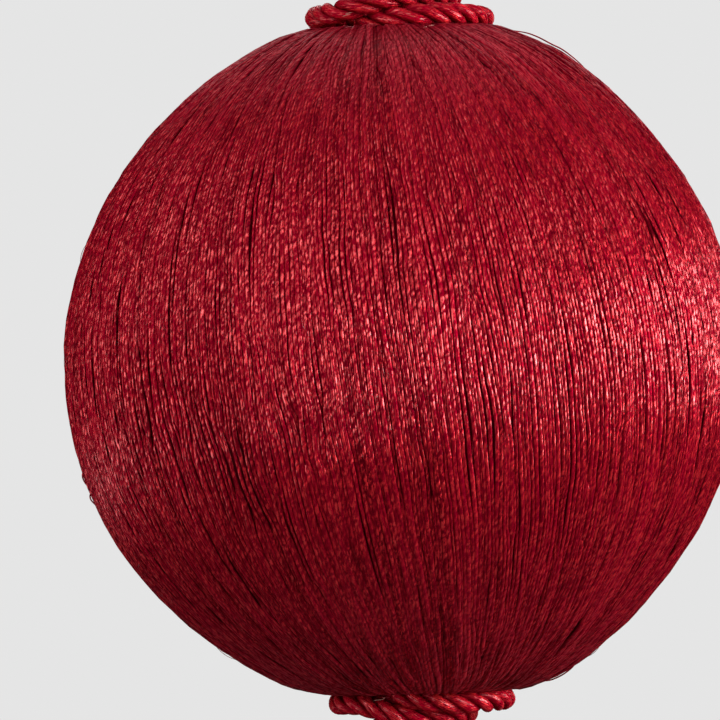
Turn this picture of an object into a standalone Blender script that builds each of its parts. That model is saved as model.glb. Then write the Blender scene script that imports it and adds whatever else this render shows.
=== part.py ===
"""Silk tassel: a thread-wound ball between two rope collars, with a hanging loop above it and a skirt below.

The tassel hangs plumb from the top of its loop, which is the origin. +Z is up, and the front looks to -Y.
Sizes are in metres. The tables give millimetres, and count heights from the middle of the ball.
"""

import math
import random
from collections import namedtuple

import bmesh
import bpy
import numpy as np
from mathutils import Matrix, Vector

MM = 0.001

# --- ball: silk thread wound from pole to pole over a round mould ---
BALL_RADIUS = 35.0 * MM  # at the equator
BALL_OFFSET = -0.85 * MM  # the ball sits this far to the left of the cord it is threaded on
BALL_SEGMENTS = 60
BALL_RINGS = 18  # between the two dimples
DIMPLE_EDGE = 8.5 * MM  # inside this radius the ball is centred on its cord
SHOULDER_EDGE = 13.5 * MM  # and outside this one it has its whole offset
TOP_SHOULDER_TILT = -0.028  # the thread is piled higher on the top's left side
TILT_FADES = (13.0 * MM, 20.0 * MM)

BuildUp = namedtuple("BuildUp", "angle extra")  # degrees from the top pole, and thread piled on the radius
THREAD_BUILD_UP = (
    BuildUp(angle=17.5, extra=1.10),
    BuildUp(angle=29.0, extra=0.90),
    BuildUp(angle=40.0, extra=0.40),
    BuildUp(angle=50.0, extra=0.10),
    BuildUp(angle=90.0, extra=0.00),
    BuildUp(angle=115.0, extra=0.12),
    BuildUp(angle=132.0, extra=0.15),
    BuildUp(angle=140.0, extra=0.35),
    BuildUp(angle=150.0, extra=0.65),
    BuildUp(angle=156.5, extra=0.90),
    BuildUp(angle=162.5, extra=0.60),
)

DimpleStop = namedtuple("DimpleStop", "radius height")  # where the thread dives into the bore at a pole
TOP_DIMPLE = (
    DimpleStop(radius=3.80, height=32.20),
    DimpleStop(radius=5.20, height=32.60),
    DimpleStop(radius=6.90, height=33.20),
    DimpleStop(radius=8.65, height=33.90),
    DimpleStop(radius=9.70, height=34.30),
)
BOTTOM_DIMPLE = (
    DimpleStop(radius=3.80, height=-31.70),
    DimpleStop(radius=5.20, height=-32.00),
    DimpleStop(radius=6.80, height=-32.60),
    DimpleStop(radius=8.55, height=-33.45),
    DimpleStop(radius=9.60, height=-33.90),
)

# --- rope: three silk strands laid up right-handed ---
ROPE_RADIUS = 1.22 * MM  # to the crown of a strand
ROPE_VALLEY = 0.76 * MM  # between two strands
ROPE_STRANDS = 3
ROPE_LEAD = 6.6 * MM  # length along the rope of one whole turn of a strand
ROPE_STEPS_PER_LEAD = 9

RopeStop = namedtuple("RopeStop", "angle radius height")  # degrees from the front, to the right
TOP_COLLAR_ROUTE = (
    RopeStop(angle=-38, radius=6.80, height=34.95),  # this end is tucked in under the climbing turn
    RopeStop(angle=-18, radius=7.30, height=35.00),
    RopeStop(angle=2, radius=8.15, height=35.42),
    RopeStop(angle=28, radius=8.65, height=35.80),
    RopeStop(angle=90, radius=8.65, height=35.60),
    RopeStop(angle=180, radius=8.65, height=35.80),
    RopeStop(angle=270, radius=8.65, height=36.08),
    RopeStop(angle=302, radius=8.75, height=36.25),
    RopeStop(angle=322, radius=8.75, height=36.85),  # climbs over the tucked end
    RopeStop(angle=342, radius=8.20, height=37.60),
    RopeStop(angle=362, radius=7.05, height=37.85),
    RopeStop(angle=380, radius=6.40, height=37.65),
    RopeStop(angle=400, radius=5.90, height=37.55),
    RopeStop(angle=450, radius=5.30, height=37.50),
    RopeStop(angle=540, radius=5.10, height=37.80),
    RopeStop(angle=630, radius=4.80, height=38.50),
    RopeStop(angle=720, radius=4.15, height=39.70),
    RopeStop(angle=790, radius=4.10, height=40.30),
    RopeStop(angle=860, radius=4.10, height=40.80),
)
BOTTOM_COLLAR_ROUTE = (
    RopeStop(angle=-28, radius=6.70, height=-34.25),  # tucked in, as above
    RopeStop(angle=-15, radius=7.40, height=-34.40),
    RopeStop(angle=5, radius=8.20, height=-34.90),
    RopeStop(angle=30, radius=8.55, height=-35.10),
    RopeStop(angle=90, radius=8.55, height=-35.10),
    RopeStop(angle=180, radius=8.55, height=-35.10),
    RopeStop(angle=270, radius=8.55, height=-35.10),
    RopeStop(angle=298, radius=8.50, height=-35.25),
    RopeStop(angle=314, radius=8.25, height=-35.90),
    RopeStop(angle=330, radius=7.80, height=-36.70),
    RopeStop(angle=345, radius=7.20, height=-37.00),
    RopeStop(angle=365, radius=6.35, height=-37.05),
    RopeStop(angle=400, radius=5.30, height=-36.90),
    RopeStop(angle=450, radius=4.65, height=-36.85),
    RopeStop(angle=540, radius=4.50, height=-37.20),
    RopeStop(angle=630, radius=4.50, height=-38.10),
    RopeStop(angle=720, radius=4.50, height=-39.60),
    RopeStop(angle=770, radius=4.50, height=-40.00),
)

LoopStop = namedtuple("LoopStop", "half_width height")  # middle of one leg of the hanging loop
LOOP_LEG = (
    LoopStop(half_width=1.40, height=32.5),
    LoopStop(half_width=1.40, height=40.0),
    LoopStop(half_width=1.60, height=45.0),
    LoopStop(half_width=2.90, height=57.0),
    LoopStop(half_width=4.60, height=70.0),
    LoopStop(half_width=6.30, height=82.0),
)
LOOP_ARC_RADIUS = 6.8 * MM
LOOP_ARC_HEIGHT = 87.0 * MM
LOOP_ARC_POINTS = 9
LOOP_TOP = LOOP_ARC_HEIGHT + LOOP_ARC_RADIUS + ROPE_RADIUS  # over the middle of the ball

# --- skirt: hanging strands fused at their roots into the neck that goes up through the bottom collar ---
SKIRT_SECTORS = 40
SKIRT_LENGTH = 110.0 * MM  # of a strand, below its root
SKIRT_ROOT_HEIGHT = -50.0
TIP_UNEVENNESS = 1.5 * MM
STRAND_INSET = 0.12 * MM  # half the gap between two roots
STRAND_COVER = 0.64  # share of its ring that a row of strand tips fills
STRAND_DEPTH = 1.35 * MM  # of a tip, across the ring
STRAND_DRIFT = 0.10  # of the pitch, to either side
STRAND_SEED = 7

NeckStop = namedtuple("NeckStop", "radius height")
NECK = (
    NeckStop(radius=0.0, height=-32.0),
    NeckStop(radius=2.9, height=-32.0),
    NeckStop(radius=2.9, height=-41.3),
    NeckStop(radius=3.8, height=-42.2),
    NeckStop(radius=5.6, height=-43.8),
    NeckStop(radius=7.4, height=-46.2),
    NeckStop(radius=8.5, height=-48.4),
)

StrandRing = namedtuple("StrandRing", "root_inner root_outer tip_radius every levels")
STRAND_RINGS = (  # every: one strand in so many sectors. levels: shares of the length where a strand bends
    StrandRing(root_inner=7.7, root_outer=8.8, tip_radius=16.5, every=1, levels=(0.12, 0.32, 0.60, 1.0)),
    StrandRing(root_inner=6.6, root_outer=7.7, tip_radius=14.0, every=1, levels=(0.20, 0.50, 1.0)),
    StrandRing(root_inner=5.5, root_outer=6.6, tip_radius=11.5, every=1, levels=(0.20, 0.50, 1.0)),
    StrandRing(root_inner=4.4, root_outer=5.5, tip_radius=9.0, every=2, levels=(0.30, 1.0)),
    StrandRing(root_inner=3.3, root_outer=4.4, tip_radius=6.4, every=2, levels=(0.30, 1.0)),
    StrandRing(root_inner=2.2, root_outer=3.3, tip_radius=3.7, every=4, levels=(0.30, 1.0)),
)

Finish = namedtuple("Finish", "colour roughness metallic")
WOUND_SILK = Finish(colour=(0.262, 0.009, 0.021), roughness=0.42, metallic=0.0)
ROPE_SILK = Finish(colour=(0.319, 0.010, 0.023), roughness=0.38, metallic=0.0)
LOOSE_SILK = Finish(colour=(0.246, 0.008, 0.019), roughness=0.46, metallic=0.0)

MERGE_DISTANCE = 0.001 * MM
FLAT_WITHIN = 0.01 * MM


def clear_scene():
    """Remove every object that the scene starts with."""
    for old in list(bpy.data.objects):
        bpy.data.objects.remove(old, do_unlink=True)


def make_material(name, finish):
    """Return a Principled material with a finish's colour, roughness and metallic value."""
    material = bpy.data.materials.new(name)
    material.use_nodes = True
    shader = material.node_tree.nodes["Principled BSDF"]
    shader.inputs["Base Color"].default_value = (*finish.colour, 1.0)
    shader.inputs["Roughness"].default_value = finish.roughness
    shader.inputs["Metallic"].default_value = finish.metallic
    return material


def add_object(name, bm, material, crease_degrees):
    """Turn a bmesh, built about the ball's middle, into an object hung from the loop's top."""
    bmesh.ops.transform(bm, matrix=Matrix.Translation((0.0, 0.0, -LOOP_TOP)), verts=bm.verts)
    mesh = bpy.data.meshes.new(name)
    bm.to_mesh(mesh)
    bm.free()
    mesh.shade_smooth()
    mesh.set_sharp_from_angle(angle=math.radians(crease_degrees))
    mesh.materials.append(material)
    piece = bpy.data.objects.new(name, mesh)
    bpy.context.scene.collection.objects.link(piece)
    return piece


def spin_profile(bm, profile, segments):
    """Turn (radius, height) points, given top to bottom, into a closed round body about Z."""
    points = [bm.verts.new((radius, 0.0, height)) for radius, height in profile]
    edges = [bm.edges.new(pair) for pair in zip(points, points[1:])]
    bmesh.ops.spin(bm, geom=points + edges, cent=(0, 0, 0), axis=(0, 0, 1), angle=math.tau,
                   steps=segments, use_merge=True)
    bmesh.ops.remove_doubles(bm, verts=bm.verts, dist=MERGE_DISTANCE)
    bmesh.ops.recalc_face_normals(bm, faces=bm.faces)


def smoothstep(low, high, value):
    """Return 0 below low, 1 above high, and a smooth rise between them."""
    share = min(max((value - low) / (high - low), 0.0), 1.0)
    return share * share * (3.0 - 2.0 * share)


def ball_profile():
    """Return the wound ball's outline from the top dimple's middle to the bottom dimple's."""
    top = [(stop.radius * MM, stop.height * MM) for stop in TOP_DIMPLE]
    bottom = [(stop.radius * MM, stop.height * MM) for stop in reversed(BOTTOM_DIMPLE)]
    angles = [row.angle for row in THREAD_BUILD_UP]
    extras = [row.extra * MM for row in THREAD_BUILD_UP]
    outline = []
    for angle in np.linspace(angles[0], angles[-1], BALL_RINGS):
        distance = BALL_RADIUS + float(np.interp(angle, angles, extras))
        turn = math.radians(angle)
        outline.append((distance * math.sin(turn), distance * math.cos(turn)))
    return [(0.0, top[0][1])] + top + outline + bottom + [(0.0, bottom[-1][1])]


def make_ball(material):
    """Wind the ball, shift all but its dimpled poles off the cord, and tilt its top shoulder."""
    bm = bmesh.new()
    spin_profile(bm, ball_profile(), BALL_SEGMENTS)
    for vert in bm.verts:
        radius = math.hypot(vert.co.x, vert.co.y)
        if vert.co.z > 0.0:
            outside_dimple = smoothstep(DIMPLE_EDGE, TILT_FADES[0], radius)
            inside_fade = 1.0 - smoothstep(*TILT_FADES, radius)
            vert.co.z += vert.co.x * TOP_SHOULDER_TILT * outside_dimple * inside_fade
        vert.co.x += BALL_OFFSET * smoothstep(DIMPLE_EDGE, SHOULDER_EDGE, radius)
    return add_object("ball", bm, material, crease_degrees=40)


def smooth_through(points, per_span=24):
    """Return close points on a smooth curve that goes through the given ones."""
    ends = [points[0] * 2 - points[1]] + list(points) + [points[-1] * 2 - points[-2]]
    curve = []
    for before, start, end, after in zip(ends, ends[1:], ends[2:], ends[3:]):
        for share in np.linspace(0.0, 1.0, per_span, endpoint=False):
            pull = (end - before) * share
            bend = (before * 2 - start * 5 + end * 4 - after) * share ** 2
            twist = (start * 3 - before - end * 3 + after) * share ** 3
            curve.append(start + (pull + bend + twist) * 0.5)
    return curve + [points[-1]]


def spaced_evenly(curve, spacing):
    """Return points at near the given spacing along a curve, with its two ends kept."""
    steps = [0.0] + [(b - a).length for a, b in zip(curve, curve[1:])]
    travelled = np.cumsum(steps)
    count = max(2, round(travelled[-1] / spacing)) + 1
    wanted = np.linspace(0.0, travelled[-1], count)
    columns = [np.interp(wanted, travelled, [point[axis] for point in curve]) for axis in range(3)]
    return [Vector(point) for point in zip(*columns)]


def collar_route(stops):
    """Return the middle line of a rope wound round the tassel's axis through a table of stops."""
    keys = [Vector((math.radians(stop.angle), stop.radius * MM, stop.height * MM)) for stop in stops]
    route = []
    for turn, radius, height in smooth_through(keys):
        route.append(Vector((radius * math.sin(turn), -radius * math.cos(turn), height)))
    return route


def loop_route():
    """Return the middle line of the hanging loop: up its left leg, over its top and down its right leg."""
    left = [Vector((-stop.half_width * MM, 0.0, stop.height * MM)) for stop in LOOP_LEG]
    arc = []
    for turn in np.linspace(math.pi, 0.0, LOOP_ARC_POINTS):
        arc.append(Vector((math.cos(turn), 0.0, math.sin(turn))) * LOOP_ARC_RADIUS
                   + Vector((0.0, 0.0, LOOP_ARC_HEIGHT)))
    right = [Vector((-point.x, 0.0, point.z)) for point in reversed(left)]
    return smooth_through(left + arc + right)


def frames_along(points):
    """Yield a matrix at each point of a route, with Z along it, turned no more than the route turns."""
    side = Vector((0.0, 0.6, 0.8)).cross(points[1] - points[0])
    for index, point in enumerate(points):
        before = points[max(index - 1, 0)]
        after = points[min(index + 1, len(points) - 1)]
        along = (after - before).normalized()
        side = (side - along * side.dot(along)).normalized()
        up = along.cross(side)
        frame = Matrix((side, up, along)).transposed().to_4x4()
        frame.translation = point
        yield frame


def make_rope(name, curve, material):
    """Lay a rope along a curve: its lobed end face is extruded step by step, and turns as it goes."""
    points = spaced_evenly(curve, ROPE_LEAD / ROPE_STEPS_PER_LEAD)
    spacing = (points[1] - points[0]).length
    bm = bmesh.new()
    bmesh.ops.create_circle(bm, cap_ends=True, segments=2 * ROPE_STRANDS, radius=ROPE_RADIUS)
    for vert in list(bm.verts)[1::2]:
        vert.co *= ROPE_VALLEY / ROPE_RADIUS
    bm.faces.ensure_lookup_table()
    end = bm.faces[0]
    placed = Matrix.Identity(4)
    for index, frame in enumerate(frames_along(points)):
        turned = frame @ Matrix.Rotation(math.tau * index * spacing / ROPE_LEAD, 4, "Z")
        if index:
            grown = bmesh.ops.extrude_face_region(bm, geom=[end, *end.edges, *end.verts])["geom"]
            end = next(item for item in grown if isinstance(item, bmesh.types.BMFace))
        bmesh.ops.transform(bm, matrix=turned @ placed.inverted(), verts=end.verts)
        placed = turned
    bmesh.ops.recalc_face_normals(bm, faces=bm.faces)
    return add_object(name, bm, material, crease_degrees=75)


def strand_place(ring, sector, share, drift, tip_drop):
    """Return the angle, radius and height of a strand's middle at a share of its length."""
    root = (ring.root_inner + ring.root_outer) / 2 * MM
    spread = 1.0 - (1.0 - share) ** 2
    radius = root + (ring.tip_radius * MM - root) * spread
    pitch = math.tau * ring.every / SKIRT_SECTORS
    angle = (sector + 0.5) * math.tau / SKIRT_SECTORS + drift * pitch * share
    height = SKIRT_ROOT_HEIGHT * MM - (SKIRT_LENGTH + tip_drop) * share
    return angle, radius, height


def place_end_face(face, ring, angle, radius, height, share):
    """Move a strand's end face to its place, swelling it from its root's size to its tip's."""
    root_radius = (ring.root_inner + ring.root_outer) / 2 * MM
    root_width = math.tau * root_radius / SKIRT_SECTORS - 2 * STRAND_INSET
    root_depth = (ring.root_outer - ring.root_inner) * MM - 2 * STRAND_INSET
    tip_width = math.tau * ring.tip_radius * MM * ring.every / SKIRT_SECTORS * STRAND_COVER
    half_width = (root_width + (tip_width - root_width) * share) / 2
    half_depth = (root_depth + (STRAND_DEPTH - root_depth) * share) / 2
    outward = Vector((math.cos(angle), math.sin(angle), 0.0))
    sideways = Vector((-outward.y, outward.x, 0.0))
    old_middle = face.calc_center_median()
    turn = math.atan2(old_middle.y, old_middle.x)
    old_outward = Vector((math.cos(turn), math.sin(turn), 0.0))
    old_sideways = Vector((-old_outward.y, old_outward.x, 0.0))
    middle = outward * radius + Vector((0.0, 0.0, height))
    for vert in face.verts:
        out = 1.0 if (vert.co - old_middle).dot(old_outward) > 0 else -1.0
        side = 1.0 if (vert.co - old_middle).dot(old_sideways) > 0 else -1.0
        vert.co = middle + outward * out * half_depth + sideways * side * half_width


def grow_strands(bm, ring, rng):
    """Extrude one ring of hanging strands from the root faces under the neck."""
    roots = []
    for face in bm.faces:
        middle = face.calc_center_median()
        radius = math.hypot(middle.x, middle.y)
        flat = abs(middle.z - SKIRT_ROOT_HEIGHT * MM) < FLAT_WITHIN
        sector = int(math.atan2(middle.y, middle.x) % math.tau / (math.tau / SKIRT_SECTORS))
        if flat and ring.root_inner * MM < radius < ring.root_outer * MM and sector % ring.every == 0:
            roots.append((sector, face))
    roots.sort(key=lambda root: root[0])
    bmesh.ops.inset_individual(bm, faces=[face for _, face in roots], thickness=STRAND_INSET,
                               use_even_offset=True)
    for sector, face in roots:
        drift = rng.uniform(-STRAND_DRIFT, STRAND_DRIFT)
        drop = rng.uniform(-TIP_UNEVENNESS, TIP_UNEVENNESS)
        for share in ring.levels:
            grown = bmesh.ops.extrude_discrete_faces(bm, faces=[face])
            face = grown["faces"][0]
            angle, radius, height = strand_place(ring, sector, share, drift, drop)
            place_end_face(face, ring, angle, radius, height, share)


def make_skirt(material):
    """Turn the neck, then let the strands hang from the flat face under it."""
    rng = random.Random(STRAND_SEED)
    bm = bmesh.new()
    neck = [(stop.radius * MM, stop.height * MM) for stop in NECK]
    roots = [(ring.root_outer * MM, SKIRT_ROOT_HEIGHT * MM) for ring in STRAND_RINGS]
    middle = [(STRAND_RINGS[-1].root_inner * MM, SKIRT_ROOT_HEIGHT * MM), (0.0, SKIRT_ROOT_HEIGHT * MM)]
    spin_profile(bm, neck + roots + middle, SKIRT_SECTORS)
    for ring in STRAND_RINGS:
        grow_strands(bm, ring, rng)
    bmesh.ops.recalc_face_normals(bm, faces=bm.faces)
    return add_object("skirt", bm, material, crease_degrees=50)


def main():
    """Build the five pieces of the tassel."""
    clear_scene()
    rope = make_material("rope_silk", ROPE_SILK)
    make_ball(make_material("wound_silk", WOUND_SILK))
    make_rope("top_collar", collar_route(TOP_COLLAR_ROUTE), rope)
    make_rope("bottom_collar", collar_route(BOTTOM_COLLAR_ROUTE), rope)
    make_rope("hanging_loop", loop_route(), rope)
    make_skirt(make_material("loose_silk", LOOSE_SILK))


main()
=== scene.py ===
"""A silk tassel, dressed for a close look at its ball.

Two-ply silk is wound from pole to pole over a round mould. A collar of laid rope closes each pole,
a loop of the same rope goes up to where the tassel hangs, and a skirt of loose silk hangs below.

The origin is the top of the loop. Sizes are in metres. The tables give millimetres, and count
heights from the middle of the ball. The front looks to -Y, and a place round the tassel is an angle
from the front to the right.
"""

import logging
import math
from dataclasses import dataclass, replace
from enum import Enum
from typing import NamedTuple, TypeVar

import bmesh
import bpy
import numpy as np
from mathutils import Matrix, Vector


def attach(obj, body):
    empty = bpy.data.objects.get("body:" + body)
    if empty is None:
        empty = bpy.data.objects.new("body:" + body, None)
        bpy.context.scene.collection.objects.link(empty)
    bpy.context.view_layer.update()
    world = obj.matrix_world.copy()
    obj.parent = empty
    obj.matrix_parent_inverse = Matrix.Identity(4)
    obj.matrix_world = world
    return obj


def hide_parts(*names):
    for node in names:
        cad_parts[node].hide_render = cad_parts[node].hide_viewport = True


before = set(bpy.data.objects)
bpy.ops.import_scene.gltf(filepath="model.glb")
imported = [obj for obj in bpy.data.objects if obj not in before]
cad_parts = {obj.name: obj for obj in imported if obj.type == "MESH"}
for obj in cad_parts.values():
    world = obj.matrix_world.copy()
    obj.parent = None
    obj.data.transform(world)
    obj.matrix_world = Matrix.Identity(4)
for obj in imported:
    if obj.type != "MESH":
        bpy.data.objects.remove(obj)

log = logging.getLogger("silk_tassel")

MM = 0.001
BODY = "root"
BALL_MIDDLE = np.array((0.0, 0.0, -95.02)) * MM  # it hangs this far under the top of the loop
LAY_MAP = "lay"  # UV map: millimetres along a thread, and turns round it from its crown
DYE_ATTRIBUTE = "dye"  # how one thread took the dye, from 0 to 1
GLOSS_ATTRIBUTE = "kept_gloss"  # GLOSS_ATTRIBUTE = "kept_gloss" # from 0 to 1, less where a thread is dragged tight; where it is less, a painted sheen comes in

Colour = tuple[float, float, float]  # linear red, green and blue
Row = TypeVar("Row", bound=tuple)


class Slot(Enum):
    """The record's material slots."""

    WOUND = "wound_silk"
    ROPE = "rope_silk"
    LOOSE = "loose_silk"


class Handed(Enum):
    """Which way strands climb round what they are laid into."""

    RIGHT = 1
    LEFT = -1


class Pole(Enum):
    """The two ends of the ball."""

    TOP = "top"
    BOTTOM = "bottom"


class RopeStop(NamedTuple):
    """A place that a wound rope's middle line goes through."""

    angle: float
    radius: float
    height: float


class LoopStop(NamedTuple):
    """A place that one leg of the hanging loop goes through."""

    half_width: float
    height: float


class BuildUp(NamedTuple):
    """Silk piled on the ball's radius at an angle from its top pole, in degrees."""

    angle: float
    extra: float


class StrayStop(NamedTuple):
    """A point on a stray thread, in millimetres from the middle of the ball."""

    x: float
    y: float
    z: float


class RingStop(NamedTuple):
    """A point of an outline that is turned round the tassel's axis."""

    radius: float
    height: float


class Waver(NamedTuple):
    """One part of how the threads of a sheaf stray from an even lay."""

    size: float
    bundle: int  # neighbours that stray together
    swings: float  # to and fro along a thread


def rows_of(kind: type[Row], *rows: tuple[float, ...]) -> tuple[Row, ...]:
    """Return rows of numbers as rows with named columns."""
    return tuple(kind(*row) for row in rows)


# ---------------------------------------------------------------------------------------------
# Curves and noise
# ---------------------------------------------------------------------------------------------


def smooth_through(points: np.ndarray, per_span: int = 24) -> np.ndarray:
    """Put close points on a smooth curve through the given ones.

    Args:
        points: The points, one a row.
        per_span: How many points go on the curve between two of them.

    Returns:
        The curve's points, one a row, with both ends kept.
    """
    ends = np.vstack([2 * points[0] - points[1], points, 2 * points[-1] - points[-2]])
    shares = np.linspace(0.0, 1.0, per_span, endpoint=False)[:, None]
    spans = []
    for before, start, end, after in zip(ends, ends[1:], ends[2:], ends[3:]):
        pull = (end - before) * shares
        bend = (2 * before - 5 * start + 4 * end - after) * shares ** 2
        twist = (3 * start - before - 3 * end + after) * shares ** 3
        spans.append(start + (pull + bend + twist) / 2)
    return np.vstack(spans + [points[-1:]])


def spaced_evenly(curve: np.ndarray, count: int) -> np.ndarray:
    """Space points evenly along a curve.

    Args:
        curve: Close points on the curve, one a row.
        count: How many points are wanted.

    Returns:
        The new points, one a row, from the curve's first point to its last.
    """
    steps = np.linalg.norm(np.diff(curve, axis=0), axis=1)
    travelled = np.concatenate([[0.0], np.cumsum(steps)])
    wanted = np.linspace(0.0, travelled[-1], count)
    return np.column_stack([np.interp(wanted, travelled, column) for column in curve.T])


def length_of(curve: np.ndarray) -> float:
    """Return a curve's length."""
    return float(np.linalg.norm(np.diff(curve, axis=0), axis=1).sum())


def unit(vectors: np.ndarray) -> np.ndarray:
    """Return vectors, along the last axis, at length 1."""
    return vectors / np.linalg.norm(vectors, axis=-1, keepdims=True)


def ease(low: float, high: float, values: np.ndarray) -> np.ndarray:
    """Rise smoothly from 0 at low to 1 at high.

    Args:
        low: Where the rise starts.
        high: Where it ends.
        values: The numbers to place on the rise.

    Returns:
        The share of the rise at each value.
    """
    share = np.clip((values - low) / (high - low), 0.0, 1.0)
    return share * share * (3 - 2 * share)


def wander(rng: np.random.Generator, shape: tuple[int, int], across: int, along: float) -> np.ndarray:
    """Make smooth noise over a sheaf, which closes on itself from the last thread to the first.

    Args:
        rng: The seeded source of chance.
        shape: Threads and stations.
        across: How many threads, or bundles of them, wander on their own.
        along: About how many times a thread swings to and fro.

    Returns:
        Numbers from -1 to 1, a row for each thread.
    """
    waves, slowest, quickest = 4, 0.4, 1.6
    full_swing = waves ** 0.75  # brings most of the sum between -1 and 1
    speed = along * rng.uniform(slowest, quickest, (across, waves, 1))
    start = rng.uniform(0.0, math.tau, (across, waves, 1))
    swings = np.sin(math.tau * speed * np.linspace(0.0, 1.0, shape[1]) + start).sum(axis=1) / full_swing
    rows = np.linspace(0, across, shape[0], endpoint=False)
    low = rows.astype(int)
    part = ease(0.0, 1.0, rows - low)[:, None]
    return np.clip(swings[low] * (1 - part) + swings[(low + 1) % across] * part, -1.0, 1.0)


def stray(rng: np.random.Generator, shape: tuple[int, int], *wavers: Waver) -> np.ndarray:
    """Return how far a sheaf of threads and stations strays, as the sum of its wavers."""
    return sum(part.size * wander(rng, shape, shape[0] // part.bundle, part.swings) for part in wavers)


# ---------------------------------------------------------------------------------------------
# Meshes and objects
# ---------------------------------------------------------------------------------------------


def put(name: str, data: bpy.types.ID) -> bpy.types.Object:
    """Put a mesh, a light or a camera in the scene.

    Args:
        name: The new object's name.
        data: What it shows.

    Returns:
        The object.
    """
    thing = bpy.data.objects.new(name, data)
    bpy.context.scene.collection.objects.link(thing)
    return thing


def mesh_of(bm: bmesh.types.BMesh, name: str) -> bpy.types.Mesh:
    """Turn a bmesh into a mesh, and free it.

    Args:
        bm: The bmesh.
        name: The mesh's name.

    Returns:
        The mesh.
    """
    mesh = bpy.data.meshes.new(name)
    bm.to_mesh(mesh)
    bm.free()
    return mesh


def put_in_order(bm: bmesh.types.BMesh) -> None:
    """Sort a bmesh's faces by their corners, so that they come in the same order on every run.

    Args:
        bm: The bmesh. No two of its faces share both their first and their last vertex.
    """
    bm.verts.index_update()
    many = len(bm.verts)

    def place(face: bmesh.types.BMFace) -> int:
        """Return a number that grows with a face's first vertex, and then with its last."""
        numbers = [vert.index for vert in face.verts]
        return min(numbers) * many + max(numbers)

    bm.faces.sort(key=place)


def read(items: bpy.types.bpy_prop_collection, name: str, kind: type, width: int = 1) -> np.ndarray:
    """Read one property of all the vertices, corners or faces of a mesh.

    Args:
        items: The vertices, corners or faces.
        name: The property.
        kind: The type of its numbers.
        width: How many numbers each item has.

    Returns:
        The numbers, with a row for each of an item's numbers where it has more than one.
    """
    values = np.empty(len(items) * width, kind)
    items.foreach_get(name, values)
    return values.reshape(-1, width).T.squeeze()


def write(items: bpy.types.bpy_prop_collection, name: str, values: np.ndarray) -> None:
    """Set one property of all the vertices or corners of a mesh."""
    items.foreach_set(name, values.astype(np.float32).ravel())


def paint(mesh: bpy.types.Mesh, name: str, values: np.ndarray) -> None:
    """Give each vertex of a mesh its own value of a new attribute."""
    write(mesh.attributes.new(name, "FLOAT", "POINT").data, "value", values)


def map_lay(mesh: bpy.types.Mesh, along: np.ndarray, turns: np.ndarray) -> None:
    """Write the lay map from its two numbers at each corner of a mesh."""
    write(mesh.uv_layers.new(name=LAY_MAP).data, "uv", np.column_stack([along, turns]))


# ---------------------------------------------------------------------------------------------
# Shader graphs and the effects that the finishes share
# ---------------------------------------------------------------------------------------------


class Graph:
    """The nodes of a material, a world or a shader group, added and linked in short calls."""

    def __init__(self, tree: bpy.types.NodeTree) -> None:
        """Take over a node tree, and empty it."""
        self.tree = tree
        tree.nodes.clear()

    @classmethod
    def of(cls, owner: bpy.types.Material | bpy.types.World) -> "Graph":
        """Return the empty graph of a new material or world."""
        owner.use_nodes = True
        return cls(owner.node_tree)

    def feed(self, socket: bpy.types.NodeSocket, value: object) -> None:
        """Link an output to a socket, or set the socket to a plain value.

        Args:
            socket: The input.
            value: Another node's output, or the value.
        """
        if isinstance(value, bpy.types.NodeSocket):
            self.tree.links.new(value, socket)
        else:
            socket.default_value = value

    def add(self, kind: str, inputs: dict | None = None, **settings: object) -> bpy.types.Node:
        """Add a node.

        Args:
            kind: Its type, without the leading "ShaderNode".
            inputs: What its sockets get, by name or number: outputs of other nodes, or values.
            settings: Its own settings, by name.

        Returns:
            The node.
        """
        node = self.tree.nodes.new(f"ShaderNode{kind}")
        for name, value in settings.items():
            setattr(node, name, value)
        for key, value in (inputs or {}).items():
            self.feed(node.inputs[key], value)
        return node

    def math(self, operation: str, *values: object) -> bpy.types.NodeSocket:
        """Return the result of one sum on numbers or outputs."""
        return self.add("Math", dict(enumerate(values)), operation=operation).outputs[0]

    def product(self, value: object, *others: object) -> bpy.types.NodeSocket:
        """Multiply numbers or outputs.

        Args:
            value: The first of them.
            others: The rest.

        Returns:
            Their product.
        """
        for other in others:
            value = self.math("MULTIPLY", value, other)
        return value

    def rest(self, value: object) -> bpy.types.NodeSocket:
        """Return what a 0 to 1 value leaves of 1."""
        return self.math("SUBTRACT", 1.0, value)

    def scale(self, value: object, low: float, high: float) -> bpy.types.NodeSocket:
        """Return a 0 to 1 value stretched to run from low to high."""
        return self.math("MULTIPLY_ADD", value, high - low, low)

    def share(self, value: object, low: float, high: float) -> bpy.types.NodeSocket:
        """Return how far a value is on its way from low to high, from 0 to 1."""
        return self.add("MapRange", {"Value": value, "From Min": low, "From Max": high}).outputs[0]

    def noise(self, place: object, scale: object, detail: float, **others: float) -> bpy.types.NodeSocket:
        """Return smooth noise from 0 to 1, around 0.5, at a place."""
        inputs = {"Vector": place, "Scale": scale, "Detail": detail, **others}
        return self.add("TexNoise", inputs).outputs["Fac"]

    def blend(self, share: object, low: object, high: object) -> bpy.types.NodeSocket:
        """Mix two colours.

        Args:
            share: How much of the second, from 0 to 1.
            low: The first colour.
            high: The second.

        Returns:
            The mixed colour.
        """
        node = self.add("Mix", data_type="RGBA", clamp_factor=True)
        for number, value in ((0, share), (6, low), (7, high)):  # the sockets that mix colours
            self.feed(node.inputs[number], value)
        return node.outputs[2]

    def effect(self, group: bpy.types.NodeTree, inputs: dict) -> bpy.types.Node:
        """Return a new node that places a shared effect, with its own values."""
        return self.add("Group", inputs, node_tree=group)


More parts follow.
